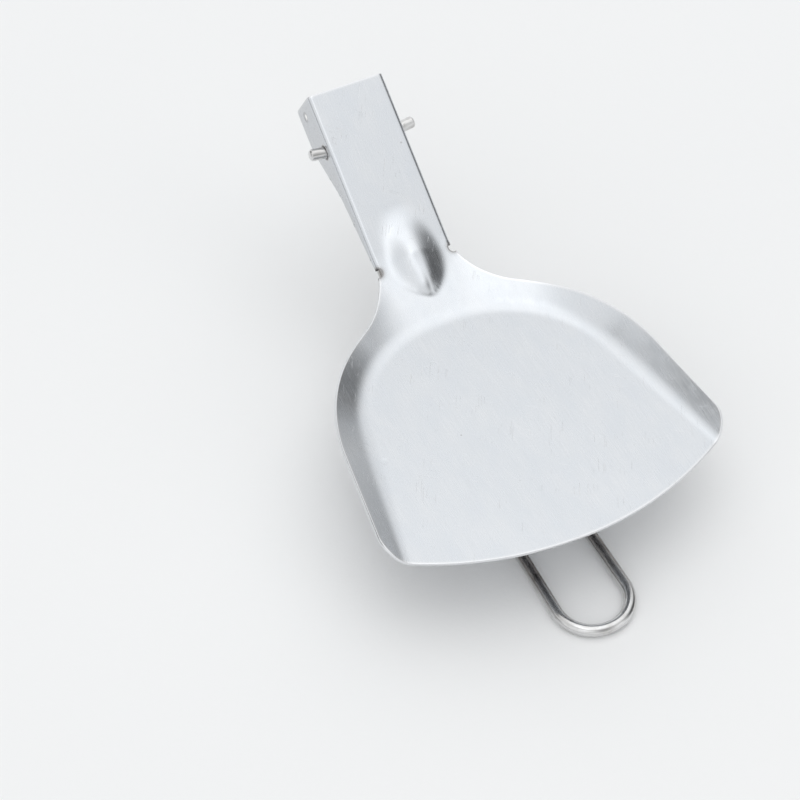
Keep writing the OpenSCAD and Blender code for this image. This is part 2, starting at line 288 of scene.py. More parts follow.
def wall_slope(a):
    """Rise of the wall over its width at an angle: steepest at the shoulder, and easing
    off towards the neck, where it meets the web's lower end."""
    if a > NOTCH_A:
        return NECK_H / (rim_reach(a) - foot_reach(a))
    neck = NECK_H / (NOTCH_C.length - foot_reach(NOTCH_A))
    knots = ((SIDE_A, math.tan(math.radians(SIDE_TILT))),
             (SHOULDER_A, math.tan(math.radians(SHOULDER_TILT))),
             (FLARE_A, math.tan(math.radians(FLARE_TILT))), (NOTCH_A, neck))
    slope = knots[0][1]
    for (a0, _), (a1, after) in zip(knots, knots[1:]):
        if a > a0:
            slope += (after - slope) * smooth((a - a0) / (a1 - a0))
    return slope


def pan_height(x, y):
    """Height of the pan's upper face."""
    a = math.degrees(math.atan2(y, abs(x)))
    out = math.hypot(x, y) - foot_reach(a)
    if out < -FOOT_BLEND:
        return 0.0
    rise = out if out > FOOT_BLEND else (out + FOOT_BLEND) ** 2 / (4 * FOOT_BLEND)
    return rise * wall_slope(a)


def smooth_max(a, b, reach):
    """The larger of two heights, with a soft change where they are within reach."""
    overlap = max(reach - abs(a - b), 0.0) / reach
    return max(a, b) + overlap * overlap * reach / 4


def rib_height(x, y):
    """Height of the stiffening rib across the bend: a keel that fades out up the web and
    narrows to a blunt point on the pan's back slope."""
    if not -RIB_TIP < y - NECK_Y < RIB_BACK:
        return 0.0
    if y > NECK_Y:
        far = (y - NECK_Y) / RIB_BACK
        rise = (1 - far) ** 2 * (1 + RIB_HOLD * far)
        half_w = RIB_HALF_W * (1 - far ** 2) ** RIB_BACK_ROUND
    else:
        far = (NECK_Y - y) / RIB_TIP
        rise = 1 - RIB_FALL * far - (1 - RIB_FALL) * far ** RIB_FALL_POWER
        half_w = RIB_HALF_W * (1 - far ** 2) ** RIB_TIP_ROUND
    q = min(abs(x) / half_w, 1.0)
    return RIB_H * rise * (1 - q * q) ** RIB_FLANK_POWER


def sheet_wave(x, y):
    """The slight unevenness that pressing leaves in thin sheet."""
    return WAVE_H * noise.noise(Vector((x / WAVE_LENGTH, y / WAVE_LENGTH, 0.3)))


def face_height(x, y):
    """Height of the blade's upper face in the pan, over the bend and on the web."""
    web = NECK_H + (y - NECK_Y) * math.tan(TANG_SLOPE)
    return smooth_max(pan_height(x, y), web, NECK_BLEND) + rib_height(x, y) + sheet_wave(x, y)


WEB_ALONG = Vector((0, math.cos(TANG_SLOPE), math.sin(TANG_SLOPE)))
WEB_UP = Vector((0, -math.sin(TANG_SLOPE), math.cos(TANG_SLOPE)))
WEB_FLAT = TANG_HALF_W - FOLD_R
FOLD_ARC = FOLD_R * math.pi / 2
FLANGE_U = WEB_FLAT + FOLD_ARC - FOLD_R

PIVOT = Vector(frame["joints"][0]["pos_m"]) / MM
PIVOT_S = (PIVOT - Vector((0, NECK_Y, NECK_H))).dot(WEB_ALONG)


def press(u, v):
    """Where the blank's point (u, v) is on the outer face of the finished blade.

    The blank is the flat sheet before pressing: the pan in plan up to the neck, and
    past it the tang's channel laid out flat."""
    if v <= NECK_Y:
        return Vector((u, v, face_height(u, v)))
    side = math.copysign(1, u)
    across = abs(u)
    y = NECK_Y + (v - NECK_Y) * math.cos(TANG_SLOPE)
    if across <= WEB_FLAT:
        return Vector((u, y, face_height(u, y)))
    start = Vector((0, y, face_height(WEB_FLAT, y)))
    turn = (across - WEB_FLAT) / FOLD_R
    if turn < math.pi / 2:
        drop = FOLD_R * (1 - math.cos(turn))
        return start + Vector((side * (WEB_FLAT + FOLD_R * math.sin(turn)), 0, 0)) - WEB_UP * drop
    drop = across - FLANGE_U
    x = TANG_HALF_W - dimple_depth(v - NECK_Y, drop)
    return start + Vector((side * x, 0, 0)) - WEB_UP * drop


def dimple_depth(s, drop):
    """How far the flange's dimple is pressed in, at a place along and down the flange."""
    away = math.hypot(s - (TANG_LEN - DIMPLE_BACK), drop - DIMPLE_DROP) / DIMPLE_R
    return DIMPLE_DEPTH * (1 - away * away) ** 2 if away < 1 else 0.0


# ---------------------------------------------------------------- the flat blank
def rounded(a, b, c, r):
    """Points of the corner b of a path a, b, c, rounded with radius r."""
    u = (a - b).normalized()
    v = (c - b).normalized()
    half = math.acos(u.dot(v)) / 2
    mid = b + (u + v).normalized() * (r / math.sin(half))
    start = b + u * (r / math.tan(half)) - mid
    turn = math.pi - 2 * half
    sense = math.copysign(1, start.x * (b - mid).y - start.y * (b - mid).x)
    steps = max(4, round(turn * r / ROUND_STEP))
    return [mid + Matrix.Rotation(sense * turn * i / steps, 2) @ start for i in range(steps + 1)]


def resample(points, step):
    """Points along a path about one step apart, both ends included."""
    lengths = [0.0]
    for p, q in zip(points, points[1:]):
        lengths.append(lengths[-1] + (q - p).length)
    count = max(1, round(lengths[-1] / step))
    found = []
    j = 0
    for i in range(count + 1):
        want = lengths[-1] * i / count
        while j < len(points) - 2 and lengths[j + 1] < want:
            j += 1
        share = (want - lengths[j]) / max(lengths[j + 1] - lengths[j], 1e-9)
        found.append(points[j].lerp(points[j + 1], min(share, 1.0)))
    return found


def flange_point(back, drop):
    """A point of the right flange in the blank, from the tang's open end and its top."""
    return Vector((FLANGE_U + drop, NECK_Y + TANG_LEN - back))


PIVOT_C = flange_point(TANG_LEN - PIVOT_S, PIVOT_DROP)
DIMPLE_C = flange_point(DIMPLE_BACK, DIMPLE_DROP)


def flange_edge():
    """Edge of the right flange in the blank, from the neck round to the tang's end."""
    neck = flange_point(TANG_LEN, FLANGE_NECK_H)
    waist = flange_point(FLANGE_WAIST_BACK, FLANGE_WAIST_H)
    heel = flange_point(FLANGE_FULL, FLANGE_H)
    tail = flange_point(0, FLANGE_H)
    end = Vector((0, tail.y))
    return ([neck] + rounded(neck, waist, heel, FLANGE_WAIST_R)
            + rounded(waist, heel, tail, FLANGE_HEEL_R)
            + rounded(heel, tail, end, FLANGE_TAIL_R) + [end])


def notch_arc(start, end):
    """The relief notch's arc from start to end, through the sheet."""
    a = angle_of(start - NOTCH_C)
    b = angle_of(end - NOTCH_C) - 360
    return [NOTCH_C + polar(a + (b - a) * i / NOTCH_STEPS, NOTCH_R)
            for i in range(1, NOTCH_STEPS)]


def blank_half():
    """Right half of the blank's edge, from the front's middle to the tang's end."""
    angles = [-90 + i / RAYS_PER_DEGREE for i in range(int((90 + NOTCH_A) * RAYS_PER_DEGREE))]
    rim = [polar(a, rim_reach(a)) for a in angles]
    rim = [p for p in rim if (p - NOTCH_C).length > NOTCH_R]
    edge = resample(flange_edge(), FINE_STEP)
    first = next(i for i, p in enumerate(edge) if (p - NOTCH_C).length > NOTCH_R)
    edge = edge[first:]
    notch = notch_arc(rim[-1], edge[0])
    return resample(rim, RING_STEP) + notch + resample(edge, RING_STEP)


def ring(centre, r, count):
    """Points evenly round a circle."""
    return [centre + polar(360 * i / count, r) for i in range(count)]


def inside(p, loop):
    """Whether a point is inside a closed loop of points."""
    odd = False
    for a, b in zip(loop, loop[1:] + loop[:1]):
        if (a.y > p.y) != (b.y > p.y):
            if p.x < a.x + (p.y - a.y) * (b.x - a.x) / (b.y - a.y):
                odd = not odd
    return odd


class Points:
    """Points of the blank. Each group keeps clear of the groups before it."""

    def __init__(self):
        self.all = []

    def add(self, group, clear=0.0):
        if self.all:
            tree = KDTree(len(self.all))
            for i, p in enumerate(self.all):
                tree.insert(p.to_3d(), i)
            tree.balance()
            group = [p for p in group if tree.find(p.to_3d())[2] > clear]
        start = len(self.all)
        self.all += group
        return list(range(start, len(self.all)))


def mirrored(points):
    """The points and their mirror images in the blade's middle line."""
    return points + [Vector((-p.x, p.y)) for p in points if abs(p.x) > 1e-6]


def tang_columns():
    """Places across the laid-out channel, close together in the folds."""
    web_steps, fold_steps, flange_steps = 17, 8, 19
    web = [WEB_FLAT * i / web_steps for i in range(web_steps + 1)]
    fold = [WEB_FLAT + FOLD_ARC * i / fold_steps for i in range(1, fold_steps + 1)]
    flange = [WEB_FLAT + FOLD_ARC + RING_STEP * i for i in range(1, flange_steps + 1)]
    return web + fold + flange


def tang_rows():
    """Places along the tang, from the pan's back slope to the tang's end."""
    first = TANG_GRID_START
    last = NECK_Y + TANG_LEN
    count = round((last - first) / TANG_STEP)
    return [first + (last - first) * i / count for i in range(count)]


def wall_rings(rim):
    """Points on the rays to the rim, in steps inwards until the wall has ended."""
    found = []
    for p in rim:
        a = angle_of(p)
        reach = p.length
        flat = min(foot_reach(a) - FOOT_BLEND - FLAT_BAND, reach - RIM_BAND)
        steps = int((reach - flat) / RING_STEP)
        found += [p * ((reach - RING_STEP * i) / reach) for i in range(1, steps + 1)]
    return found


def floor_grid():
    """A grid of triangles over the flat floor."""
    found = []
    row_step = FLOOR_STEP * math.sqrt(3) / 2
    for j in range(-FLOOR_ROWS, FLOOR_ROWS + 1):
        for i in range(-FLOOR_COLUMNS, FLOOR_COLUMNS + 1):
            p = Vector(((i + (j % 2) / 2) * FLOOR_STEP, j * row_step))
            a = math.degrees(math.atan2(p.y, abs(p.x)))
            if p.length < min(foot_reach(a) - FOOT_BLEND - FLAT_BAND, rim_reach(a) - RIM_BAND):
                found.append(p)
    return found


def detail_points():
    """Rings round the pivot holes, the relief notches and the dimples."""
    found = []
    for r in DETAIL_RINGS:
        found += mirrored(ring(PIVOT_C, PIVOT_R + r, HOLE_SIDES - 6 * round(r)))
        found += mirrored(ring(NOTCH_C, NOTCH_R + r, NOTCH_SIDES))
    for k in range(1, DIMPLE_RINGS + 1):
        found += mirrored(ring(DIMPLE_C, DIMPLE_RING_STEP * k, 6 + 4 * k))
    return found + mirrored([DIMPLE_C])


def tang_points():
    """A grid over the tang and the bend."""
    found = []
    for v in tang_rows():
        for u in tang_columns():
            if v > NECK_Y or u <= WEB_FLAT:
                found += mirrored([Vector((u, v))])
    return found


def wall_points(half):
    """Rings over the walls, beside and in front of the tang's grid."""
    rim = [p for p in half if p.y < NECK_Y and (p - NOTCH_C).length > NOTCH_R + 0.1]
    found = [p for p in wall_rings(rim) if p.x > WEB_FLAT or p.y < TANG_GRID_START]
    angles = [i / RAYS_PER_DEGREE for i in
              range(round(RAYS_PER_DEGREE * NOTCH_A), 90 * RAYS_PER_DEGREE + 1, 3)]
    back = [polar(a, rim_reach(a)) for a in angles]
    found += [p for p in wall_rings(back) if p.y < TANG_GRID_START - 0.3]
    return mirrored(found)


def blank_mesh():
    """The blank's points, and its triangles without those in the pivot holes."""
    half = blank_half()
    outline = half + [Vector((-p.x, p.y)) for p in reversed(half[1:-1])]
    centres = [Vector((side * PIVOT_C.x, PIVOT_C.y)) for side in (1, -1)]
    points = Points()
    loops = [points.add(outline)]
    for centre in centres:
        loops.append(points.add(ring(centre, PIVOT_R, HOLE_SIDES)))
    for group, clear in ((detail_points(), DETAIL_CLEAR), (tang_points(), TANG_CLEAR),
                         (wall_points(half), WALL_CLEAR),
                         (mirrored(floor_grid()), FLOOR_CLEAR)):
        points.add([p for p in group if inside(p, outline)], clear)
    edges = [(a, b) for loop in loops for a, b in zip(loop, loop[1:] + loop[:1])]
    found = delaunay_2d_cdt(points.all, edges, [], 1, 1e-5)
    places = [Vector(p) for p in found[0]]
    faces = []
    for face in found[2]:
        middle = sum((places[i] for i in face), Vector((0, 0))) / len(face)
        if all((middle - c).length > PIVOT_R * 0.98 for c in centres):
            faces.append(face)
    return places, faces


# ---------------------------------------------------------------- the sheet's solid
def edge_profile():
    """The rounded cut edge, as steps (outwards, down) from the outer to the inner face."""
    steps = 3
    quarter = [math.pi / 2 * i / steps for i in range(steps + 1)]
    top = [(EDGE_R * math.sin(t) - EDGE_R, EDGE_R * math.cos(t) - EDGE_R) for t in quarter]
    bottom = [(out, -SHEET_T - down) for out, down in reversed(top)]
    return top + bottom


def next_on_edge(bm):
    """The next vertex along each open edge, with the sheet on the left."""
    found = {}
    for edge in bm.edges:
        if len(edge.link_faces) == 1:
            loop = edge.link_loops[0]
            found[loop.vert] = loop.link_loop_next.vert
    return found


def thicken(bm):
    """Gives the open sheet its thickness inwards, with rounded cut edges."""
    blank = bm.verts.layers.float_vector["blank"]
    rim = bm.verts.layers.float["rim"]
    bm.normal_update()
    outer = list(bm.verts)
    outer_faces = list(bm.faces)
    follows = next_on_edge(bm)
    before = {b: a for a, b in follows.items()}
    normals = {v: v.normal.copy() for v in outer}
    outward = {}
    for v, after in follows.items():
        tangent = (after.co - before[v].co).normalized()
        outward[v] = tangent.cross(normals[v]).normalized()
    places = {v: v.co - out * EDGE_INSET for v, out in outward.items()}
    for v, out in outward.items():
        v.co = places[v] - out * (EDGE_R + EDGE_SUPPORT)
    inner = {}
    for v in outer:
        w = bm.verts.new(v.co - normals[v] * SHEET_T)
        w[blank] = v[blank] + Vector((0, 0, 1))
        w[rim] = v[rim]
        inner[v] = w
    for face in outer_faces:
        bm.faces.new([inner[v] for v in reversed(face.verts)])
    strips = {}
    for v, out in outward.items():
        strip = [v]
        for side, down in edge_profile():
            w = bm.verts.new(places[v] + out * side + normals[v] * down)
            w[blank] = v[blank] + Vector((0, 0, -down / SHEET_T))
            w[rim] = 0.0
            strip.append(w)
        strips[v] = strip + [inner[v]]
    for v, after in follows.items():
        for i in range(len(strips[v]) - 1):
            a, b = strips[v], strips[after]
            bm.faces.new([b[i], a[i], a[i + 1], b[i + 1]])


def edge_distance(bm):
    """Stores how far each vertex is from the nearest cut edge."""
    rim = bm.verts.layers.float["rim"]
    edge = list(next_on_edge(bm))
    tree = KDTree(len(edge))
    for i, v in enumerate(edge):
        tree.insert(v.co, i)
    tree.balance()
    for v in bm.verts:
        v[rim] = tree.find(v.co)[2]


def paint_shade_and_highlight(bm):
    """Stores where shade and highlight are painted on the sheet: painted shade in rings at
    the dimples and the pivot holes, in a patch around each relief notch, and over the
    flanges. The middle of each dimple gets a painted highlight and a smoother finish."""
    blank = bm.verts.layers.float_vector["blank"]
    painted_shade = bm.verts.layers.float["painted_shade"]
    polish_and_highlight = bm.verts.layers.float["polish_and_highlight"]
    spots = ((DIMPLE_C, DIMPLE_R, DIMPLE_SHADE_W), (PIVOT_C, PIVOT_R, PIVOT_SHADE_W),
             (NOTCH_C, NOTCH_R, NOTCH_SHADE_W))
    for v in bm.verts:
        p = Vector((abs(v[blank].x), v[blank].y))
        # Painted shade over the flanges and round the dimples, pivot holes and notches; painted
        # highlight in each dimple's middle
        flange = smooth(p.x - FLANGE_U - 0.5) if p.y > NECK_Y else 0.0
        rings = max(1 - abs((p - c).length - r) / wide for c, r, wide in spots)
        v[painted_shade] = max(rings, FLANGE_SHADE * flange)
        v[polish_and_highlight] = max(1 - (p - DIMPLE_C).length / DIMPLE_HIGHLIGHT_R, 0)


def to_object(bm, name):
    """A smooth-shaded object in metres from a mesh in millimetres."""
    mesh = bpy.data.meshes.new(name)
    bm.to_mesh(mesh)
    bm.free()
    mesh.transform(Matrix.Scale(MM, 4))
    mesh.shade_smooth()
    piece = bpy.data.objects.new(name, mesh)
    bpy.context.scene.collection.objects.link(piece)
    return piece


def make_blade():
    """The blade: the blank pressed to shape, thickened, and marked for its material."""
    places, faces = blank_mesh()
    bm = bmesh.new()
    blank = bm.verts.layers.float_vector.new("blank")
    bm.verts.layers.float.new("rim")
    # Layers for the painted shade and for the painted highlight with its smoother finish
    bm.verts.layers.float.new("painted_shade")
    bm.verts.layers.float.new("polish_and_highlight")
    made = []
    for p in places:
        v = bm.verts.new(press(p.x, p.y))
        v[blank] = (p.x, p.y, 0)
        made.append(v)
    for face in faces:
        bm.faces.new([made[i] for i in face])
    bmesh.ops.delete(bm, geom=[v for v in bm.verts if not v.link_faces], context="VERTS")
    edge_distance(bm)
    bmesh.ops.join_triangles(bm, faces=bm.faces[:], angle_face_threshold=math.radians(15),
                             angle_shape_threshold=math.radians(35))
    thicken(bm)
    paint_shade_and_highlight(bm)
    return to_object(bm, "pressed_blade")


# ---------------------------------------------------------------- wire handle
def wire_corners():
    """Corners of the wire's centreline from one pin's tip to the other's, with radii."""
    leg_x = TANG_HALF_W - SHEET_T - LEG_GAP - WIRE_R
    flange_x = TANG_HALF_W - SHEET_T / 2
    pin_dir = Vector((math.cos(PIN_LEAN), 0, 0)) + WEB_ALONG * math.sin(PIN_LEAN)

    def pin_at(x):
        """The point of the leaning right pin at a distance from the middle plane."""
        return PIVOT + Vector((flange_x, 0, 0)) + pin_dir * ((x - flange_x) / pin_dir.x)

    knee = PIVOT - WEB_ALONG * LEG_LEN
    splay = (LOOP_HALF_GAP - leg_x) / (LEG_LEN + GRIP_LEN)
    half = [
        (pin_at(TANG_HALF_W + PIN_OUT), 0),
        (pin_at(leg_x), PIN_BEND_R),
        (knee + Vector((leg_x + splay * LEG_LEN, 0, 0)), KNEE_BEND_R),
        (knee + Vector((LOOP_HALF_GAP, -GRIP_LEN, 0)), LOOP_HALF_GAP - LOOP_FLAT)]
    return half + [(Vector((-p.x, p.y, p.z)), r) for p, r in reversed(half)]


def bend_points(a, b, c, r):
    """Points of a round bend of radius r at corner b of the path a, b, c."""
    u = (a - b).normalized()
    v = (c - b).normalized()
    half = math.acos(u.dot(v)) / 2
    mid = b + (u + v).normalized() * (r / math.sin(half))
    start = b + u * (r / math.tan(half)) - mid
    turn = math.pi - 2 * half
    axis = start.cross(b - mid).normalized()
    steps = max(4, round(math.degrees(turn) / BEND_STEP))
    return [mid + Quaternion(axis, turn * i / steps) @ start for i in range(steps + 1)]


def wire_line():
    """The wire's centreline: straights with a point every few millimetres, and bends."""
    corners = wire_corners()
    line = [corners[0][0]]
    for (a, _), (b, r), (c, _) in zip(corners, corners[1:], corners[2:]):
        bend = bend_points(a, b, c, r)
        gap = (bend[0] - line[-1]).length
        steps = max(1, round(gap / WIRE_STEP))
        line += [line[-1].lerp(bend[0], i / steps) for i in range(1, steps)]
        line += bend
    return line + [corners[-1][0]]


def pin_tip(line):
    """Rings of the chamfered tip at the start of a line, as centres and radii: a close
    pair at each edge of the chamfer keeps it crisp."""
    inwards = (line[1] - line[0]).normalized()
    profile = ((0.0, 0.35), (0.0, 0.8), (0.0, WIRE_R - PIN_CHAMFER - 0.07),
               (0.025, WIRE_R - PIN_CHAMFER - 0.01), (0.1, WIRE_R - PIN_CHAMFER + 0.08),
               (PIN_CHAMFER - 0.1, WIRE_R - 0.1), (PIN_CHAMFER - 0.02, WIRE_R - 0.03),
               (PIN_CHAMFER + 0.08, WIRE_R), (PIN_CHAMFER + 0.25, WIRE_R))
    return [(line[0] + inwards * back, r) for back, r in profile]


def wire_rows(bm, line, rings):
    """Rows of vertices round the wire, and for the material each one's place in the wire:
    across it, and along it from the middle of the loop."""
    drawn = bm.verts.layers.float_vector.new("drawn")
    normal = WEB_UP.copy()
    along = -sum((b - a).length for (a, _), (b, _) in zip(rings, rings[1:])) / 2
    rows = []
    for i, (centre, r) in enumerate(rings):
        before = rings[max(i - 1, 0)][0]
        after = rings[min(i + 1, len(rings) - 1)][0]
        tangent = after - before
        if tangent.length < 1e-6:
            tangent = line[1] - line[0] if i < len(rings) / 2 else line[-1] - line[-2]
        tangent.normalize()
        normal = (normal - tangent * normal.dot(tangent)).normalized()
        binormal = tangent.cross(normal)
        along += (centre - before).length
        row = []
        for k in range(WIRE_SIDES):
            t = 2 * math.pi * k / WIRE_SIDES
            spoke = normal * math.cos(t) + binormal * math.sin(t)
            v = bm.verts.new(centre + spoke * (r - WIRE_SKIN))
            v[drawn] = (math.cos(t) * WIRE_R, math.sin(t) * WIRE_R, along)
            row.append(v)
        rows.append(row)
    return rows


def make_wire():
    """The handle: rings along the wire's centreline, closed at both tips."""
    line = wire_line()
    rings = (pin_tip(line) + [(p, WIRE_R) for p in line[1:-1]]
             + list(reversed(pin_tip(line[::-1]))))
    bm = bmesh.new()
    rows = wire_rows(bm, line, rings)
    for a, b in zip(rows, rows[1:]):
        for k in range(WIRE_SIDES):
            n = (k + 1) % WIRE_SIDES
            bm.faces.new([a[k], a[n], b[n], b[k]])
    for row, order in ((rows[0], -1), (rows[-1], 1)):
        bm.faces.new(row[::order])
    bmesh.ops.recalc_face_normals(bm, faces=bm.faces[:])
    return to_object(bm, "bent_wire_handle")


# ---------------------------------------------------------------- material helpers
class Nodes:
    """Short calls for building a material's nodes."""

    def __init__(self, tree):
        self.tree = tree

    def add(self, kind, **values):
        """A new node. Each value sets the property of that name, or else the input."""
        node = self.tree.nodes.new("ShaderNode" + kind)
        for key, value in values.items():
            if hasattr(node, key):
                setattr(node, key, value)
            else:
                node.inputs[key.replace("_", " ").title()].default_value = value
        return node

    def link(self, out, into):
        self.tree.links.new(out, into)

    def math(self, operation, a, b=0.0):
        node = self.tree.nodes.new("ShaderNodeMath")
        node.operation = operation
        for socket, value in zip(node.inputs, (a, b)):
            if isinstance(value, (int, float)):
                socket.default_value = value
            else:
                self.link(value, socket)
        return node.outputs[0]

    def attribute(self, name, output="Vector"):
        return self.add("Attribute", attribute_name=name).outputs[output]

    def scaled(self, vector, scale):
        node = self.add("VectorMath", operation="MULTIPLY")
        self.link(vector, node.inputs[0])
        node.inputs[1].default_value = scale
        return node.outputs[0]

    def noise(self, vector, scale, detail=2.0, roughness=0.5):
        node = self.add("TexNoise", scale=scale, detail=detail, roughness=roughness)
        self.link(vector, node.inputs["Vector"])
        return node.outputs["Fac"]

    def spread(self, value, low, high, to_low=0.0, to_high=1.0):
        """The value mapped from low..high to to_low..to_high, and held at both ends."""
        node = self.add("MapRange")
        self.link(value, node.inputs["Value"])
        for name, number in (("From Min", low), ("From Max", high),
                             ("To Min", to_low), ("To Max", to_high)):
            node.inputs[name].default_value = number
        return node.outputs["Result"]

    def mix_colour(self, share, a, b):
        node = self.tree.nodes.new("ShaderNodeMix")
        node.data_type = "RGBA"
        self.link(share, node.inputs["Factor"])
        for socket, value in ((node.inputs["A"], a), (node.inputs["B"], b)):
            if isinstance(value, tuple):
                socket.default_value = (*value, 1)
            else:
                self.link(value, socket)
        return node.outputs["Result"]

    def bump(self, height, strength, distance, under=None):
        """The normal of a relief of that height, on top of the relief under it."""
        node = self.add("Bump", strength=strength, distance=distance)
        self.link(height, node.inputs["Height"])
        if under is not None:
            self.link(under, node.inputs["Normal"])
        return node.outputs["Normal"]


def new_material(name):
    """A new material, the short calls for its nodes, and its shader."""
    material = bpy.data.materials.new(name)
    material.use_nodes = True
    shader = material.node_tree.nodes["Principled BSDF"]
    return material, Nodes(material.node_tree), shader


# ---------------------------------------------------------------- materials
def scratches(nodes, vector, turn, spacing, rarity):
    """Sparse straight scratches: thin bands along one direction, broken into lengths."""
    turned = nodes.add("VectorRotate", rotation_type="Z_AXIS")
    nodes.link(vector, turned.inputs["Vector"])
    turned.inputs["Angle"].default_value = turn
    lines = nodes.noise(nodes.scaled(turned.outputs[0], (4.5, 0.11, 1)), 1.0, 1, 0.4)
    thin = nodes.spread(lines, rarity, rarity + 0.02)
    broken = nodes.noise(nodes.scaled(turned.outputs[0], (spacing, spacing, 1)), 1.0, 1)
    return nodes.math("MULTIPLY", thin, nodes.spread(broken, 0.55, 0.62))


def specks(nodes, vector, scale, share, size):
    """Scattered small round spots in a share of the cells of a grid."""
    cells = nodes.add("TexVoronoi", scale=scale)
    nodes.link(vector, cells.inputs["Vector"])
    spot = nodes.spread(cells.outputs["Distance"], size * 0.6, size, 1, 0)
    pick = nodes.add("SeparateColor")
    nodes.link(cells.outputs["Color"], pick.inputs[0])
    return nodes.math("MULTIPLY", spot, nodes.math("LESS_THAN", pick.outputs[0], share))


def blade_steel():
    """Brushed stainless sheet: long fine grain along the blade, faint mottling, sparse
    scratches, small dents and specks, painted shade at the dimples, pivot holes, relief notches
    and over the flanges, and a brighter, smoother band along the cut edges. The middle of
    each dimple is smoother and carries a painted highlight."""
    material, nodes, shader = new_material("brushed_sheet_steel")
    blank = nodes.attribute("blank")
    edge = nodes.spread(nodes.attribute("rim", "Fac"), 0.05, 0.9, 1, 0)
    painted_shade = nodes.spread(nodes.attribute("painted_shade", "Fac"), 0, 1)
    polish_and_highlight = nodes.spread(nodes.attribute("polish_and_highlight", "Fac"), 0.15, 0.45)

    grain = nodes.noise(nodes.scaled(blank, (6.0, 0.12, 1)), 1.0, 4, 0.65)
    fine = nodes.noise(nodes.scaled(blank, (14.0, 0.5, 1)), 1.0, 2, 0.6)
    mottle = nodes.noise(nodes.scaled(blank, (0.16, 0.09, 1)), 1.0, 4, 0.6)
    cloud = nodes.noise(nodes.scaled(blank, (0.5, 0.35, 1)), 1.0, 3, 0.55)
    scratch = nodes.math("MAXIMUM", scratches(nodes, blank, 0.5, 0.13, 0.68),
                         scratches(nodes, blank, -0.9, 0.11, 0.7))
    speck = specks(nodes, blank, 0.14, 0.3, 0.045)
    dent = specks(nodes, blank, 0.055, 0.35, 0.06)

    tone = nodes.mix_colour(nodes.spread(mottle, 0.35, 0.65), (0.675, 0.70, 0.735),
                            (0.725, 0.738, 0.758))
    streaked = nodes.mix_colour(nodes.spread(grain, 0.3, 0.7), (0.655, 0.677, 0.705), tone)
    scored = nodes.mix_colour(nodes.math("MULTIPLY", scratch, 0.5), streaked, (0.84, 0.84, 0.85))
    dotted = nodes.mix_colour(nodes.math("MULTIPLY", speck, 0.5), scored, (0.3, 0.29, 0.28))
    worn = nodes.mix_colour(nodes.math("MULTIPLY", edge, 0.6), dotted, (0.82, 0.82, 0.83))
    # Painted shade at the dimples, pivot holes, relief notches and over the flanges
    shaded = nodes.mix_colour(nodes.math("MULTIPLY", nodes.math("POWER", painted_shade, 1.5), 0.75),
                             worn, (0.2, 0.19, 0.185))
    # Painted highlight in the middle of each dimple; the same mask also lowers the roughness
    # below
    highlighted = nodes.mix_colour(polish_and_highlight, shaded, (0.98, 0.97, 0.95))
    nodes.link(highlighted, shader.inputs["Base Color"])
    shader.inputs["Metallic"].default_value = 1.0

    rough = nodes.spread(grain, 0.3, 0.7, 0.20, 0.30)
    rough = nodes.math("ADD", rough, nodes.spread(cloud, 0.3, 0.7, -0.03, 0.03))
    rough = nodes.math("SUBTRACT", rough, nodes.math("MULTIPLY", edge, 0.06))
    rough = nodes.math("SUBTRACT", rough, nodes.math("MULTIPLY", polish_and_highlight, 0.12))
    nodes.link(rough, shader.inputs["Roughness"])

    relief = nodes.bump(grain, 0.25, 0.00002)
    relief = nodes.bump(fine, 0.25, 0.00001, relief)
    relief = nodes.bump(nodes.math("ADD", scratch, dent), 0.5, -0.00005, relief)
    nodes.link(relief, shader.inputs["Normal"])
    return material


def wire_steel():
    """Drawn stainless wire: polished, with a painted dark reflection along one side of each
    leg, fine lines and dull patches. The painted dark reflection fades out before the loop."""
    material, nodes, shader = new_material("drawn_steel_wire")
    drawn = nodes.attribute("drawn")
    place = nodes.add("SeparateXYZ")
    nodes.link(drawn, place.inputs[0])
    from_loop = nodes.math("ABSOLUTE", place.outputs["Z"])
    leg = nodes.math("MULTIPLY", nodes.spread(from_loop, 8, 24),
                     nodes.spread(from_loop, 110, 135, 1, 0))
    uneven = nodes.spread(nodes.noise(drawn, 0.35, 2, 0.5), 0.3, 0.6, 0.88, 1)
    # Painted dark reflection along one side of each leg, away from the loop and the pin tips
    painted_dark_reflection = nodes.math("MULTIPLY", nodes.spread(place.outputs["X"], 0.2, 1.1), leg)
    lines = nodes.noise(nodes.scaled(drawn, (4.5, 4.5, 0.05)), 1.0, 3, 0.6)
    patches = nodes.noise(nodes.scaled(drawn, (0.5, 0.5, 0.22)), 1.0, 3, 0.6)
    specks = nodes.noise(nodes.scaled(drawn, (1.8, 1.8, 0.9)), 1.0, 2, 0.6)
    # The painted dark reflection darkens the tone
    tone = nodes.mix_colour(nodes.math("MULTIPLY", painted_dark_reflection, uneven), (0.74, 0.74, 0.74),
                            (0.14, 0.125, 0.12))
    tone = nodes.mix_colour(nodes.spread(lines, 0.52, 0.7, 0, 0.4), tone, (0.2, 0.19, 0.185))
    tone = nodes.mix_colour(nodes.spread(patches, 0.45, 0.7, 0, 0.55), tone,
                            (0.44, 0.42, 0.40))
    tone = nodes.mix_colour(nodes.spread(specks, 0.68, 0.76, 0, 0.7), tone,
                            (0.2, 0.18, 0.17))
    nodes.link(tone, shader.inputs["Base Color"])
    shader.inputs["Metallic"].default_value = 1.0
    rough = nodes.spread(patches, 0.35, 0.65, 0.1, 0.2)
    nodes.link(rough, shader.inputs["Roughness"])
    relief = nodes.bump(lines, 0.2, 0.00001)
    nodes.link(nodes.bump(patches, 0.3, 0.00005, relief), shader.inputs["Normal"])
    return material


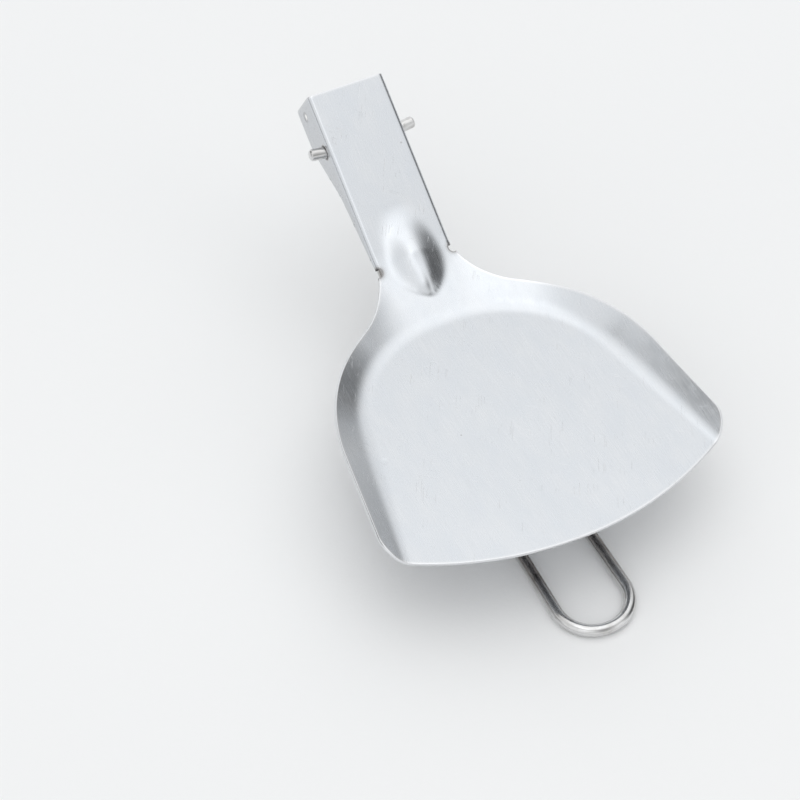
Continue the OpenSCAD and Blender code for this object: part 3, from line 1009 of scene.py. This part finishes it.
def floor_paper():
    """Pale matt paper with a faint tooth."""
    material, nodes, shader = new_material("pale_studio_paper")
    coords = nodes.add("TexCoord").outputs["Object"]
    cloud = nodes.noise(coords, 3.0, 3)
    tone = nodes.mix_colour(cloud, (0.86, 0.865, 0.87), (0.9, 0.9, 0.9))
    nodes.link(tone, shader.inputs["Base Color"])
    shader.inputs["Roughness"].default_value = 0.75
    nodes.link(nodes.bump(nodes.noise(coords, 900.0, 3), 0.15, 0.0002), shader.inputs["Normal"])
    return material


# ---------------------------------------------------------------- stage, light, camera
def make_floor(height):
    """The studio floor, at the height of the folded handle's lowest point."""
    bm = bmesh.new()
    bmesh.ops.create_grid(bm, x_segments=8, y_segments=8, size=FLOOR_HALF)
    bmesh.ops.translate(bm, verts=bm.verts[:], vec=(0, 0, height))
    floor = to_object(bm, "studio_floor")
    floor.data.materials.append(floor_paper())


def make_fill_light():
    """A soft light overhead that lightens the floor and doesn't show in the steel."""
    light = bpy.data.lights.new("floor_fill", "AREA")
    light.shape = "RECTANGLE"
    light.size = FILL_SIZE * MM
    light.size_y = FILL_SIZE * MM
    light.energy = FILL_WATTS
    lamp = bpy.data.objects.new("floor_fill", light)
    lamp.location = Vector(FILL_PLACE) * MM
    lamp.rotation_euler = (-Vector(FILL_PLACE)).to_track_quat("-Z", "Y").to_euler()
    lamp.visible_glossy = False
    bpy.context.scene.collection.objects.link(lamp)


def direction(azimuth, elevation):
    """A unit vector: azimuth from +X towards +Y, and elevation above the floor."""
    a, e = math.radians(azimuth), math.radians(elevation)
    return Vector((math.cos(a) * math.cos(e), math.sin(a) * math.cos(e), math.sin(e)))


def make_world():
    """A soft dome of light, brightest overhead, with darker areas near the horizon that
    give the polished walls something to reflect."""
    world = bpy.data.worlds.new("studio_dome")
    bpy.context.scene.world = world
    world.use_nodes = True
    nodes = Nodes(world.node_tree)
    background = world.node_tree.nodes["Background"]
    towards = nodes.add("TexCoord").outputs["Generated"]
    level = 1.0
    for azimuth, elevation, core, rim, change in DOME_AREAS:
        aim = nodes.add("VectorMath", operation="DOT_PRODUCT")
        nodes.link(towards, aim.inputs[0])
        aim.inputs[1].default_value = direction(azimuth, elevation)
        away = nodes.math("ARCCOSINE", aim.outputs["Value"])
        share = nodes.spread(away, math.radians(core), math.radians(rim), 1 + change, 1)
        level = nodes.math("MULTIPLY", share, level)
    nodes.link(level, background.inputs["Strength"])
    background.inputs["Color"].default_value = (0.985, 0.995, 1, 1)


def make_camera():
    """The camera, high in front of the pan and a little to its left."""
    camera = bpy.data.objects.new("camera", bpy.data.cameras.new("camera"))
    camera.data.sensor_width = CAMERA_SENSOR
    camera.data.lens = CAMERA_LENS
    camera.data.dof.use_dof = False
    place = Vector(CAMERA_PLACE) * MM
    look = (Vector(CAMERA_AIM) * MM - place).to_track_quat("-Z", "Y")
    roll = Quaternion((0, 0, 1), CAMERA_ROLL)
    camera.location = place
    camera.rotation_euler = (look @ roll).to_euler()
    bpy.context.scene.collection.objects.link(camera)
    bpy.context.scene.camera = camera


def dress(piece, material, body, node):
    """Gives a piece its material, ties it to its body, and hides the CAD node that it stands for.
    """
    piece.data.materials.append(material)
    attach(piece, body)
    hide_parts(node)


make_camera()
dress(make_blade(), blade_steel(), "blade", "blade")
dress(make_wire(), wire_steel(), "handle", "wire_handle")
make_floor(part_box("wire_handle")[0].z / MM)
make_world()
make_fill_light()
bpy.context.scene.view_settings.view_transform = "Standard"
